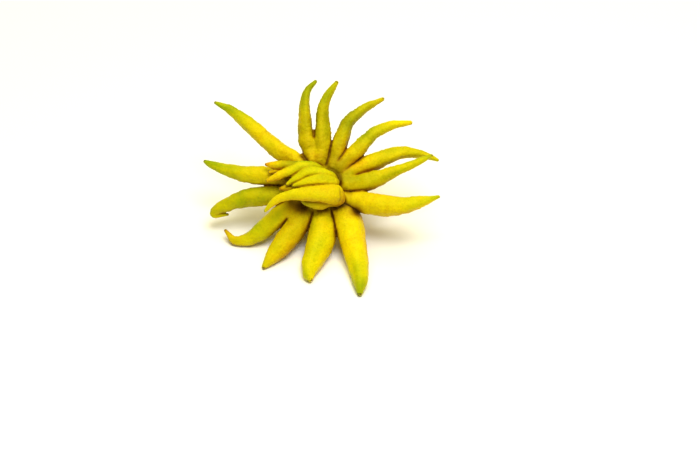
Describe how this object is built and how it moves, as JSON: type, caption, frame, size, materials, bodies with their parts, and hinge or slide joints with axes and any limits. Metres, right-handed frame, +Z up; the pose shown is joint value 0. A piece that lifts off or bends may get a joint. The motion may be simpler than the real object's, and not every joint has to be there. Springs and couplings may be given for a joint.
{
  "type": "buddhas hand citron",
  "caption": "Fingered citron lying open on its heel and lower fingers: a ribbed body that parts into a fan of tapering fingers round a folded fist, with calyx and stem stub.",
  "frame": {"origin": "on the surface that the fruit rests on, under the middle of its bounding box", "axes": "+Z up; +Y to the back, where the stem stub points; +X to the right across the fan of fingers, as seen from the front"},
  "size_m": [0.2353, 0.19, 0.1269],
  "materials": {
    "peel": "satin",
    "calyx": "matte",
    "stem": "matte"
  },
  "bodies": {
    "root": {"fruit": "peel", "calyx": "calyx", "stem_stub": "stem"}
  },
  "joints": []
}
